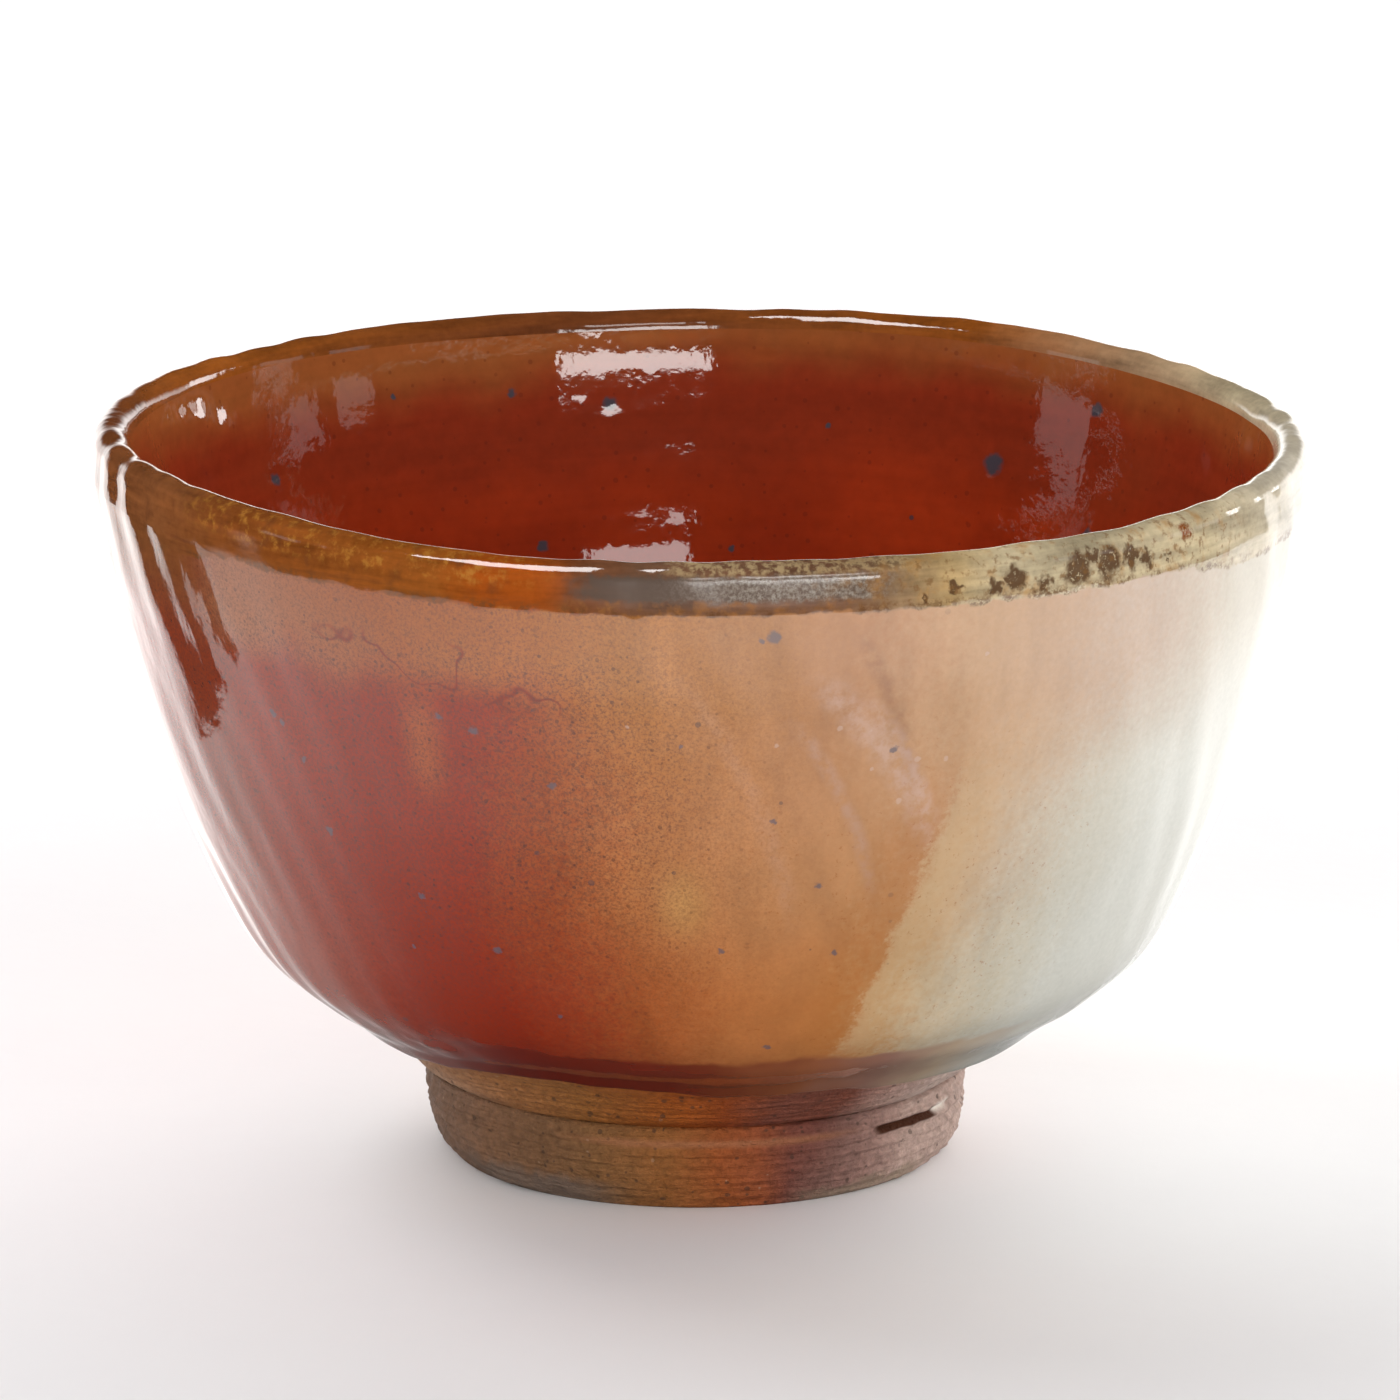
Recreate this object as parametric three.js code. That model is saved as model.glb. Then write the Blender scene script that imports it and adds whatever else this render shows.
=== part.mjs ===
// A wheel-thrown tea bowl on a trimmed foot ring, glazed inside and out.
// Units are millimetres, +Z is up, and the foot stands on z = 0 around the origin.
//
// Each part is a closed outline in the half-plane (radius, height), turned once around the
// Z axis. The outlines of neighbouring parts share their points along the surface where the
// parts meet, so glaze, clay and foot lie face to face without a gap or an overlap.

import * as THREE from 'three';

// ---- driving dimensions ------------------------------------------------------------------

const WIDEST_RADIUS = 60.0;        // the wall glaze ends here and the lip glaze begins
const WIDEST_HEIGHT = 68.2;
const LIP_RADIUS = 57.95;          // circle of the lip's crest
const LIP_ROUND = 1.8;             // half the thickness of the rounded lip
const LIP_CENTRE_HEIGHT = 71.2;

const GLAZE_LINE_RADIUS = 34.7;    // lower edge of the wall glaze
const GLAZE_LINE_HEIGHT = 14.6;
const CONE_SLOPE = 0.67;           // rise over run of the cone between the foot and the haunch
const GLAZE_THICKNESS = 0.5;
const GLAZE_ROLL_THICKNESS = 0.7;  // the glaze gathers in a roll along its lower edge
const GLAZE_ROLL_WIDTH = 2.8;

const NECK_RADIUS = 26.0;          // groove between the bowl and its foot ring
const NECK_HEIGHT = 8.5;
const FOOT_RADIUS = 26.95;         // widest ridge of the foot ring
const FOOT_BASE_RADIUS = 24.3;
const FOOT_BASE_INNER_RADIUS = 18.6;
const RECESS_RADIUS = 16.8;        // hollow under the bowl, inside the foot ring
const RECESS_HEIGHT = 6.4;
const RECESS_CROWN_HEIGHT = 6.0;

const FLOOR_HEIGHT = 12.0;         // lowest point inside the bowl

const SEGMENTS = 48;
const LIP_STEPS = 3;               // steps in each quarter of the lip
const WALL_STEPS = 12;
const INSIDE_STEPS = 11;

// The hand-thrown rim rises and falls a little on its way round, and the mouth is slightly oval.
const RIM_WAVES = [
  { lobes: 1, height: 0.65, phase: 195 },
  { lobes: 2, height: 0.25, phase: 29 },
  { lobes: 3, height: 0.20, phase: -125 },
  { lobes: 5, height: 0.17, phase: -45 },
];
const MOUTH_OVALNESS = 0.003;
const MOUTH_LONG_AXIS = 20;        // degrees from +X

// The foot was trimmed a little off the axis of the bowl.
const FOOT_SHIFT = -0.6;

// ---- outlines ----------------------------------------------------------------------------

const point = (radius, height) => new THREE.Vector2(radius, height);

const smoothCurve = (stations, steps) => new THREE.SplineCurve(stations).getPoints(steps);

// Moves an outline sideways: to its left for a positive distance.
function offset(outline, distance) {
  return outline.map((here, i) => {
    const before = outline[Math.max(i - 1, 0)];
    const after = outline[Math.min(i + 1, outline.length - 1)];
    const along = after.clone().sub(before).normalize();
    return point(here.x - along.y * distance, here.y + along.x * distance);
  });
}

// Outer face of the wall glaze, from the glaze line up to the widest point: a straight cone
// above the foot, a tight turn at the haunch, then a wall that steepens towards the mouth.
const glazeOutside = [
  point(GLAZE_LINE_RADIUS, GLAZE_LINE_HEIGHT),
  ...smoothCurve([
    point(GLAZE_LINE_RADIUS + GLAZE_ROLL_WIDTH, GLAZE_LINE_HEIGHT + GLAZE_ROLL_WIDTH * CONE_SLOPE),
    point(40.8, 18.7),
    point(45.3, 23.0),
    point(49.2, 30.6),
    point(53.6, 41.5),
    point(57.1, 53.8),
    point(59.0, 61.5),
    point(WIDEST_RADIUS, WIDEST_HEIGHT),
  ], WALL_STEPS),
];

// Outer face of the lip glaze: from the widest point over the crest to the inside.
const lipOutside = [point(WIDEST_RADIUS, WIDEST_HEIGHT)];
for (let i = 0; i <= 2 * LIP_STEPS; i += 1) {
  const angle = (Math.PI * i) / (2 * LIP_STEPS);
  const across = LIP_ROUND * Math.cos(angle);
  const up = LIP_ROUND * Math.sin(angle);
  lipOutside.push(point(LIP_RADIUS + across, LIP_CENTRE_HEIGHT + up));
}

// Outer face of the liner glaze, from the lip down the inside of the bowl to its centre. The
// bottom is a shallow pool with a soft edge.
const glazeInside = smoothCurve([
  point(LIP_RADIUS - LIP_ROUND, LIP_CENTRE_HEIGHT),
  point(55.6, 66.0),
  point(53.5, 58.5),
  point(49.6, 46.0),
  point(45.2, 34.5),
  point(39.2, 24.6),
  point(30.5, 17.6),
  point(21.0, 14.4),
  point(13.0, 12.9),
  point(6.0, 12.2),
  point(0, FLOOR_HEIGHT),
], INSIDE_STEPS);

// The clay lies one glaze thickness under the glaze, all the way round.
const glazeFace = [...glazeOutside, ...lipOutside.slice(1), ...glazeInside.slice(1)];
const clayFace = offset(glazeFace, GLAZE_THICKNESS);
clayFace[clayFace.length - 1].setX(0);

const wallCount = glazeOutside.length;
const lipCount = lipOutside.length;
const clayOutside = clayFace.slice(0, wallCount);
const clayLip = clayFace.slice(wallCount - 1, wallCount - 1 + lipCount);
const clayInside = clayFace.slice(wallCount + lipCount - 2);

// The bowl's underside, shared by the thrown body and the foot ring that it stands on.
const underside = [
  point(RECESS_RADIUS, RECESS_HEIGHT),
  point(NECK_RADIUS, NECK_HEIGHT),
];

// ---- turning -----------------------------------------------------------------------------

// Smooth step from 0 at the foot to 1 at the rim: the wobble grows with height.
function lift(height) {
  return THREE.MathUtils.smoothstep(height, GLAZE_LINE_HEIGHT, WIDEST_HEIGHT);
}

// A point of the bowl at this radius, height and angle, with the hand-made wobble added.
function place(radius, height, angle) {
  const share = lift(height);
  const rise = RIM_WAVES.reduce((sum, wave) => {
    const phase = THREE.MathUtils.degToRad(wave.phase);
    return sum + wave.height * Math.cos(wave.lobes * angle - phase);
  }, 0);
  const longAxis = THREE.MathUtils.degToRad(MOUTH_LONG_AXIS);
  const stretch = 1 + MOUTH_OVALNESS * share * Math.cos(2 * (angle - longAxis));
  const shift = FOOT_SHIFT * (1 - THREE.MathUtils.smoothstep(height, NECK_HEIGHT, GLAZE_LINE_HEIGHT));
  return [
    radius * stretch * Math.cos(angle) + shift,
    radius * stretch * Math.sin(angle),
    height + rise * share,
  ];
}

// Turns an outline into a closed solid. The outline runs anticlockwise: up the outside and
// down the inside. It closes on itself, or starts and ends on the axis. Each quad is split
// along the diagonal that its neighbour across a shared surface uses too.
function turn(outline) {
  const positions = [];
  const rings = outline.map(({ x: radius, y: height }) => {
    const first = positions.length / 3;
    const onAxis = radius < 1e-6;
    const count = onAxis ? 1 : SEGMENTS;
    for (let j = 0; j < count; j += 1) {
      positions.push(...place(radius, height, (2 * Math.PI * j) / SEGMENTS));
    }
    return { vertex: (j) => first + (onAxis ? 0 : j % SEGMENTS), onAxis, radius, height };
  });

  const indices = [];
  rings.forEach((lower, i) => {
    const upper = rings[(i + 1) % rings.length];
    const rising = upper.height > lower.height
      || (upper.height === lower.height && upper.radius > lower.radius);
    for (let j = 0; j < SEGMENTS; j += 1) {
      const [a, b] = [lower.vertex(j), lower.vertex(j + 1)];
      const [c, d] = [upper.vertex(j + 1), upper.vertex(j)];
      if (lower.onAxis && upper.onAxis) continue;
      if (lower.onAxis) indices.push(a, c, d);
      else if (upper.onAxis) indices.push(a, b, c);
      else if (rising) indices.push(a, b, c, a, c, d);
      else indices.push(a, b, d, b, c, d);
    }
  });

  const geometry = new THREE.BufferGeometry();
  geometry.setAttribute('position', new THREE.Float32BufferAttribute(positions, 3));
  geometry.setIndex(indices);
  geometry.computeVertexNormals();
  return geometry;
}

// ---- parts -------------------------------------------------------------------------------

function part(name, outline, colour, roughness) {
  const material = new THREE.MeshStandardMaterial({ color: colour, roughness, metalness: 0 });
  const mesh = new THREE.Mesh(turn(outline), material);
  mesh.name = name;
  return mesh;
}

// Clay wall and floor. Below the glaze line its bare clay runs on in a cone to the neck.
function thrownBody() {
  const outline = [
    point(0, RECESS_CROWN_HEIGHT),
    ...underside,
    point(NECK_RADIUS + 1.3, NECK_HEIGHT + 0.9),
    ...clayOutside,
    ...clayLip.slice(1),
    ...clayInside.slice(1),
  ];
  return part('thrown_body', outline, 0x9a6a45, 0.85);
}

// Trimmed foot ring (kodai): ridge, tapered side with a small bevel, flat base, open recess.
function footRing() {
  const outline = [
    point(FOOT_BASE_INNER_RADIUS, 0),
    point(FOOT_BASE_RADIUS, 0),
    point(FOOT_BASE_RADIUS + 0.7, 0.6),
    point(FOOT_RADIUS - 0.9, 2.4),
    point(FOOT_RADIUS - 0.2, 4.6),
    point(FOOT_RADIUS, 6.4),
    point(FOOT_RADIUS - 0.3, 7.6),
    ...underside.slice().reverse(),
    point(RECESS_RADIUS + 0.8, 0.9),
  ];
  return part('foot_ring', outline, 0x8a6236, 0.9);
}

// Wall glaze: a thin coat outside the clay, with a roll where it stops above the foot.
function outerGlaze() {
  const roll = offset(glazeOutside.slice(0, 3), GLAZE_THICKNESS - GLAZE_ROLL_THICKNESS);
  const outline = [
    clayOutside[0],
    roll[0],
    roll[1],
    ...glazeOutside.slice(2),
    ...clayOutside.slice(1).reverse(),
  ];
  return part('outer_glaze', outline, 0xb9764a, 0.15);
}

// Lip glaze: the narrow band that breaks over the crest of the rim.
function rimGlaze() {
  return part('rim_glaze', [...lipOutside, ...clayLip.slice().reverse()], 0x8a5a24, 0.15);
}

// Liner glaze: the coat inside the bowl, down to the axis.
function linerGlaze() {
  return part('liner_glaze', [...glazeInside, ...clayInside.slice().reverse()], 0x8c2410, 0.1);
}

const bowl = new THREE.Group();
bowl.add(thrownBody(), footRing(), outerGlaze(), rimGlaze(), linerGlaze());

export default bowl;
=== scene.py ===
"""Looks of the wheel-thrown matcha bowl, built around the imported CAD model.

The five CAD solids are stood for by finely turned meshes of the same outline, with the throwing
rings, pour ridges, glaze roll and trimming marks as real shape. Every surface has a procedural
material that works in millimetres: the angle round the bowl and the height above the table.
Shapes here are worked out in millimetres too, and become metres in metres_from_mm().
"""

import math

import bpy
import numpy as np
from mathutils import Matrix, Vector


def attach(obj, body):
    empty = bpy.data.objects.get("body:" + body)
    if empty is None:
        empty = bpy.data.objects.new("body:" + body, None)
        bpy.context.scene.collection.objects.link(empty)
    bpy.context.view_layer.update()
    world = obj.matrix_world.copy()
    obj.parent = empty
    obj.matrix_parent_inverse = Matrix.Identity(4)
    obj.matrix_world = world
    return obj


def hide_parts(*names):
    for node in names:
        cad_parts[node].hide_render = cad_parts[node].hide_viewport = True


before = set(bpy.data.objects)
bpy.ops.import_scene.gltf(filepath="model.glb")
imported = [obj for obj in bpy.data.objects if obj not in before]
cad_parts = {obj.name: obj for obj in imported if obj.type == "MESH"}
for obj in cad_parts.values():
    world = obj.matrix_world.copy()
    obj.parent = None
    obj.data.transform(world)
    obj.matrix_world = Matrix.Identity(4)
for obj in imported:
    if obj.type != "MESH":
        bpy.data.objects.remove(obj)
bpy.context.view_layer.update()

# ---- driving dimensions, in millimetres and degrees ----
# They are the CAD part's, except that the wall inside the lip is up to 0.3 mm thicker and the foot's
# shoulder up to 0.8 mm fuller.

MM = 0.001
GLAZE_LINE = (34.7, 14.6)          # radius and height of the wall glaze's lower edge
WIDEST = (60.0, 68.2)              # the wall glaze ends here and the lip glaze begins
WALL = [(37.5, 16.476), (40.8, 18.7), (45.3, 23.0), (49.2, 30.6), (53.6, 41.5), (57.1, 53.8),
        (59.0, 61.5), WIDEST]
LIP_RADIUS = 57.95
LIP_ROUND = 1.8
LIP_CENTRE_HEIGHT = 71.2
INSIDE = [(LIP_RADIUS - LIP_ROUND, LIP_CENTRE_HEIGHT), (55.3, 66.0), (53.35, 58.5), (49.6, 46.0),
          (45.2, 34.5), (39.2, 24.6), (30.5, 17.6), (21.0, 14.4), (13.0, 12.9), (6.0, 12.2),
          (0.0, 12.0)]
CONE_FOOT = (27.3, 9.4)            # where the bare cone under the glaze meets the groove
NECK = (26.0, 8.5)
RECESS = (16.8, 6.4)               # hollow under the bowl, inside the foot ring
RECESS_CROWN = (0.0, 6.0)
FOOT_SIDE = [(24.3, 0.0), (25.0, 0.6), (26.05, 2.4), (26.75, 4.6), (26.95, 6.4), (26.95, 7.6),
             (26.75, 8.5), (26.4, 8.8), NECK]
FOOT_INSIDE = [RECESS, (17.6, 0.9), (18.6, 0.0)]
GLAZE_THICKNESS = 0.5
RIM_WAVES = [(1, 0.65, 195), (2, 0.25, 29), (3, 0.20, -125), (5, 0.17, -45)]
MOUTH_OVALNESS = 0.003
MOUTH_LONG_AXIS = 20
FOOT_SHIFT = -0.6

SEGMENTS = 480
SKIN_STEP = 0.1                    # spacing of the points that describe the glaze's face
ANGLE = np.arange(SEGMENTS) * 2 * math.pi / SEGMENTS
DEGREES = (np.degrees(ANGLE) + 180) % 360 - 180
TWIST = math.radians(0.37)         # how far the pour marks turn round the bowl for each millimetre up
TWIST_LEVEL = 40                   # the height that they turn about


# ---- shape helpers ----

def smoothstep(value, low, high):
    share = np.clip((value - low) / (high - low), 0, 1)
    return share * share * (3 - 2 * share)


def bump(value, centre, width):
    """A smooth hill of height 1, as wide as width on each side of its centre."""
    return 1 - smoothstep(np.abs(value - centre), 0, width)


def smooth_curve(stations, steps_per_span=24):
    """A Catmull-Rom curve through the stations, its ends held."""
    points = np.array(stations, float)
    spans = len(points) - 1
    t = np.linspace(0, spans, spans * steps_per_span + 1)
    span = np.minimum(t.astype(int), spans - 1)
    w = (t - span)[:, None]
    p0, p1, p2, p3 = (points[np.clip(span + k, 0, spans)] for k in (-1, 0, 1, 2))
    return 0.5 * (2 * p1 + (p2 - p0) * w + (2 * p0 - 5 * p1 + 4 * p2 - p3) * w**2
                  + (3 * p1 - p0 - 3 * p2 + p3) * w**3)


def lengths_along(points):
    steps = np.linalg.norm(np.diff(points, axis=0), axis=1)
    return np.concatenate([[0], np.cumsum(steps)])


def at_lengths(points, wanted):
    """Points of a polyline at these lengths along it."""
    along = lengths_along(points)
    return np.stack([np.interp(wanted, along, points[:, k]) for k in (0, 1)], axis=-1)


def evenly(points, step):
    total = lengths_along(points)[-1]
    return at_lengths(points, np.linspace(0, total, max(2, round(total / step) + 1)))


def softened(points, reach):
    """The polyline with its kinks rounded off over this many points on each side."""
    kernel = np.hanning(2 * reach + 3)[1:-1]
    kernel = kernel / kernel.sum()
    padded = np.pad(points, ((reach, reach), (0, 0)), mode="reflect", reflect_type="odd")
    return np.stack([np.convolve(padded[:, k], kernel, mode="valid") for k in (0, 1)], axis=-1)


def ripple(angle, height, seed, waves, lobes, length):
    """Smooth random relief of about unit height, the same on each way round the bowl."""
    draw = np.random.default_rng(seed)
    total = 0
    for _ in range(waves):
        round_count = draw.integers(lobes[0], lobes[1] + 1)
        up_count = draw.choice((-1, 1)) * 2 * math.pi / draw.uniform(*length)
        phase = draw.uniform(0, 2 * math.pi)
        total = total + np.cos(round_count * angle + up_count * height + phase)
    return total / math.sqrt(waves / 2)


def metres_from_mm(radius, height, angle):
    """A point of the bowl, with the hand-made wobble that the CAD part has."""
    share = smoothstep(height, GLAZE_LINE[1], WIDEST[1])
    rise = sum(size * np.cos(lobes * angle - math.radians(phase))
               for lobes, size, phase in RIM_WAVES)
    stretch = 1 + MOUTH_OVALNESS * share * np.cos(2 * (angle - math.radians(MOUTH_LONG_AXIS)))
    shift = FOOT_SHIFT * (1 - smoothstep(height, NECK[1], GLAZE_LINE[1]))
    place = (radius * stretch * np.cos(angle) + shift, radius * stretch * np.sin(angle),
             height + rise * share)
    return np.stack(np.broadcast_arrays(*place), axis=-1) * MM


# ---- the glaze's face: from the groove up the wall, over the lip and down to the axis ----

def lip_arc():
    turn = np.radians(np.arange(0, 181, 10))
    return np.stack([LIP_RADIUS + LIP_ROUND * np.cos(turn),
                     LIP_CENTRE_HEIGHT + LIP_ROUND * np.sin(turn)], axis=-1)


OUTLINE = np.vstack([[CONE_FOOT, GLAZE_LINE], smooth_curve(WALL), lip_arc(),
                     smooth_curve(INSIDE)[1:]])
SKIN = softened(evenly(OUTLINE, SKIN_STEP), 9)
SKIN_LENGTHS = lengths_along(SKIN)
CREST = int(np.argmax(SKIN[:, 1]))
OUTER_SIDE = slice(0, CREST)
LINE_AT = float(np.interp(GLAZE_LINE[1], SKIN[OUTER_SIDE, 1], SKIN_LENGTHS[OUTER_SIDE]))
WIDEST_AT = float(np.interp(WIDEST[1], SKIN[OUTER_SIDE, 1], SKIN_LENGTHS[OUTER_SIDE]))
CREST_AT = float(SKIN_LENGTHS[CREST])
LINER_AT = CREST_AT + math.pi / 2 * LIP_ROUND
CENTRE_AT = float(SKIN_LENGTHS[-1])

# Height of the wall glaze's wavering lower edge, above (+) or below (-) the glaze line.
EDGE_HEIGHTS = [(-180, 0.1), (-145, -0.1), (-115, 0.5), (-95, 0.1), (-80, -0.7), (-73, -0.4),
                (-60, -1.2), (-30, -1.3), (20, -0.6), (80, 0.3), (130, 0.0), (180, 0.1)]


def outside_at(height):
    return float(np.interp(height, SKIN[OUTER_SIDE, 1], SKIN_LENGTHS[OUTER_SIDE]))


def inside_at(height):
    return float(np.interp(-height, -SKIN[CREST:, 1], SKIN_LENGTHS[CREST:]))


# Small lumps under the glaze: angle, length along the skin, size, height.
NODULES = [(-120, outside_at(20.7), 0.8, 0.22), (-131, outside_at(18.5), 0.7, 0.20),
           (-128, outside_at(18.2), 0.6, 0.16), (-133.5, outside_at(19.0), 0.6, 0.14),
           (83.5, inside_at(69.4), 0.8, 0.25), (56, inside_at(59.3), 0.9, 0.10),
           (100, inside_at(63.8), 0.7, 0.08), (143, inside_at(60.0), 0.7, 0.08),
           (151, inside_at(66.0), 1.5, 0.45), (155, inside_at(67.6), 1.5, 0.50),
           (159, inside_at(68.4), 1.3, 0.40), (163, inside_at(68.8), 1.2, 0.40),
           (14, inside_at(68.0), 1.8, 0.45)]
NODULE_RADIUS = 50                 # turns an angle into a distance round the bowl

# A throwing ring inside the bowl: its height, and the lengths where it rises and where it fades.
RING_HEIGHT = 0.13
RING_RISE = (inside_at(50.2), inside_at(46.8))
RING_FADE = (inside_at(45), inside_at(32))


def edge_shift():
    """How far along the skin the glaze's lower edge moves, at each angle."""
    stations = np.array(EDGE_HEIGHTS)
    base = np.interp(DEGREES, stations[:, 0], stations[:, 1])
    length_for_height = 1.7        # the cone there rises about 1 mm in each 1.7 mm of its length
    return base * length_for_height + 0.16 * ripple(ANGLE, 0, 11, 8, (9, 40), (10, 20))


def nodules(along):
    total = 0
    for angle, place, size, height in NODULES:
        around = np.radians((DEGREES - angle + 180) % 360 - 180) * NODULE_RADIUS
        total = total + height * np.exp(-(around**2 + (along - place)**2) / (2 * size**2))
    return total


def skin_relief(along):
    """Hand-made unevenness of the face, outwards from it."""
    radius = np.interp(along, SKIN_LENGTHS, SKIN[:, 0])
    height = np.interp(along, SKIN_LENGTHS, SKIN[:, 1])
    off_axis = smoothstep(radius, 4, 20)
    on_wall = smoothstep(along, LINE_AT, LINE_AT + 9) * (1 - smoothstep(along, CREST_AT, LINER_AT))
    turning = 0.010 * ripple(ANGLE, along, 3, 7, (0, 2), (5, 11))
    sheared = ANGLE + TWIST * (height - TWIST_LEVEL)
    ridges = 0.045 * ripple(sheared, along, 5, 14, (18, 64), (50, 140))
    swell = 0.08 * ripple(ANGLE, along, 7, 8, (2, 7), (40, 90))
    lip = 0.032 * ripple(ANGLE, along, 9, 9, (5, 26), (12, 30)) * bump(along, CREST_AT, 6)
    shoulder = 0.016 * ripple(ANGLE, along, 10, 14, (20, 90), (5, 10))
    shoulder = shoulder * bump(along, WIDEST_AT + 0.5, 4)
    ring = RING_HEIGHT * (smoothstep(along, *RING_RISE) - smoothstep(along, *RING_FADE))
    wall = off_axis * (swell + turning + on_wall * ridges)
    return wall + ring + lip + shoulder + nodules(along)


def skin_surface(along, depth):
    """Places of the face at these lengths along it, sunk by depth, as rows of points."""
    along = np.broadcast_to(along, np.broadcast_shapes(np.shape(along), (1, SEGMENTS)))
    reach = 1.5 * SKIN_STEP
    slope = [np.interp(along + reach, SKIN_LENGTHS, SKIN[:, k])
             - np.interp(along - reach, SKIN_LENGTHS, SKIN[:, k]) for k in (0, 1)]
    size = np.hypot(*slope)
    sink = depth - skin_relief(along)
    radius = np.interp(along, SKIN_LENGTHS, SKIN[:, 0]) - slope[1] / size * sink
    height = np.interp(along, SKIN_LENGTHS, SKIN[:, 1]) + slope[0] / size * sink
    return metres_from_mm(np.maximum(radius, 0), height, ANGLE)


def column(*stretches):
    """Lengths along the skin, as one column: each stretch is start, end and step."""
    rows = [np.linspace(start, end, max(2, round((end - start) / step) + 1))
            for start, end, step in stretches]
    return np.unique(np.round(np.concatenate(rows), 5))[:, None]


# ---- turned meshes ----

UV_BANDS = 3                       # the turned strip is cut in three, laid one above another
SHARP_FROM = math.radians(50)      # a fold at least this steep is shaded as an edge


def turned(name, rows, on_axis):
    """A closed mesh from rows of points round the bowl. The rows close on themselves, or begin
    and end on the axis."""
    if on_axis:
        poles = [rows[0].mean(axis=0), rows[-1].mean(axis=0)]
        rows = rows[1:-1]
    count = len(rows)
    grid = np.arange(count * SEGMENTS).reshape(count, SEGMENTS)
    upper = grid[1:] if on_axis else np.roll(grid, -1, axis=0)
    lower = grid[: len(upper)]
    quads = np.stack([lower, np.roll(lower, -1, axis=1), np.roll(upper, -1, axis=1), upper], axis=-1)
    points = rows.reshape(-1, 3)
    faces = quads.reshape(-1, 4).tolist()
    if on_axis:
        points = np.vstack([points, poles])
        start, end = count * SEGMENTS, count * SEGMENTS + 1
        for j in range(SEGMENTS):
            k = (j + 1) % SEGMENTS
            faces.append([start, int(grid[0, k]), int(grid[0, j])])
            faces.append([end, int(grid[-1, j]), int(grid[-1, k])])
    mesh = bpy.data.meshes.new(name)
    mesh.from_pydata(points.tolist(), [], faces)
    mesh.update()
    lay_out(mesh, quads.shape, count)
    mesh.shade_smooth()
    mesh.set_sharp_from_angle(angle=SHARP_FROM)
    piece = bpy.data.objects.new(name, mesh)
    bpy.context.scene.collection.objects.link(piece)
    return piece


def lay_out(mesh, quad_shape, count):
    """Gives the mesh the flat layout that its materials are baked in: bands round the bowl."""
    rows, columns, _ = quad_shape
    band = SEGMENTS // UV_BANDS
    j = np.arange(columns)
    left = (j % band) / band
    across = np.stack([left, left + 1 / band, left + 1 / band, left], axis=-1)
    i = np.arange(rows) / count
    up = np.stack([i, i, i + 1 / count, i + 1 / count], axis=-1)

    # Narrow margins part the bands, and the triangles round the axis share one small spot.
    u = np.broadcast_to(across[None], (rows, columns, 4)) * 0.99 + 0.005
    v = (up[:, None, :] * 0.98 + 0.01 + (j // band)[None, :, None]) / UV_BANDS
    corners = np.stack([u, v], axis=-1).reshape(-1, 2)
    loose = np.full((len(mesh.loops) - len(corners), 2), 0.5)
    loose[:, 1] = np.tile([0.001, 0.002, 0.003], len(loose) // 3)
    layer = mesh.uv_layers.new(name="OFBake")
    layer.uv.foreach_set("vector", np.vstack([corners, loose]).astype(np.float32).ravel())


def wall_glaze():
    """The wall's coat: a rounded roll along its lower edge, then even up to the widest point."""
    along = column((LINE_AT, LINE_AT + 1, 0.1), (LINE_AT + 1, LINE_AT + 12, 0.4),
                   (LINE_AT + 12, WIDEST_AT - 3, 0.62), (WIDEST_AT - 3, WIDEST_AT, 0.3))
    from_edge = along - LINE_AT
    moved = along + edge_shift() * (1 - smoothstep(from_edge, 0, 10))
    round_off = np.sqrt(1 - (1 - np.clip(from_edge / 0.7, 0, 1))**2)
    roll = 0.25 * (1 - smoothstep(from_edge, 0.7, 3.2))
    depth = GLAZE_THICKNESS - (GLAZE_THICKNESS + roll) * round_off
    face = skin_surface(moved, depth)
    hidden = np.linspace(0, len(along) - 1, 14).round().astype(int)[::-1]
    back = skin_surface(moved[hidden], GLAZE_THICKNESS + 0.05)
    return turned("wall_glaze_coat", np.vstack([face, back]), False)


def lip_glaze():
    """The band over the crest of the rim."""
    along = column((WIDEST_AT, LINER_AT, 0.3))
    face = skin_surface(along, 0)
    back = skin_surface(along[::-3], GLAZE_THICKNESS)
    return turned("lip_glaze_coat", np.vstack([face, back]), False)


def inside_glaze():
    """The coat inside the bowl, down to its centre."""
    along = column((LINER_AT, LINER_AT + 4, 0.3), (LINER_AT + 4, CENTRE_AT, 0.62))
    face = skin_surface(along, 0)
    back = skin_surface(along[::-12], GLAZE_THICKNESS)
    axis = metres_from_mm(0, INSIDE[-1][1] - GLAZE_THICKNESS, ANGLE)[None]
    face[-1] = metres_from_mm(0, INSIDE[-1][1], ANGLE)
    top_down = np.vstack([axis, back[1:], face[:-1], face[-1:]])
    return turned("liner_glaze_coat", top_down, True)


def clay_body():
    """Clay under the glaze, with its bare trimmed cone above the foot and the recess below."""
    recess = evenly(np.array([RECESS_CROWN, RECESS, NECK, CONE_FOOT]), 1.2)[:, None, :]
    below = metres_from_mm(recess[..., 0], recess[..., 1], ANGLE)
    cone = column((0, LINE_AT + 3, 0.16))
    trimming = 0.06 * ripple(ANGLE, cone, 21, 6, (0, 1), (0.9, 2.4))
    trimming = trimming + 0.020 * ripple(ANGLE, cone, 22, 14, (20, 90), (3, 9))
    bare = 1 - smoothstep(cone, LINE_AT - 1.5, LINE_AT + 0.5)
    depth = GLAZE_THICKNESS * smoothstep(cone, 0, LINE_AT) - trimming * bare * smoothstep(cone, 0, 1)
    outside = skin_surface(cone, depth)
    hidden = column((LINE_AT + 5, CENTRE_AT - 2, 3))
    under = skin_surface(hidden, GLAZE_THICKNESS)
    crown = metres_from_mm(0, INSIDE[-1][1] - GLAZE_THICKNESS, ANGLE)[None]
    return turned("thrown_clay", np.vstack([below, outside[1:], under, crown]), True)


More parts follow.
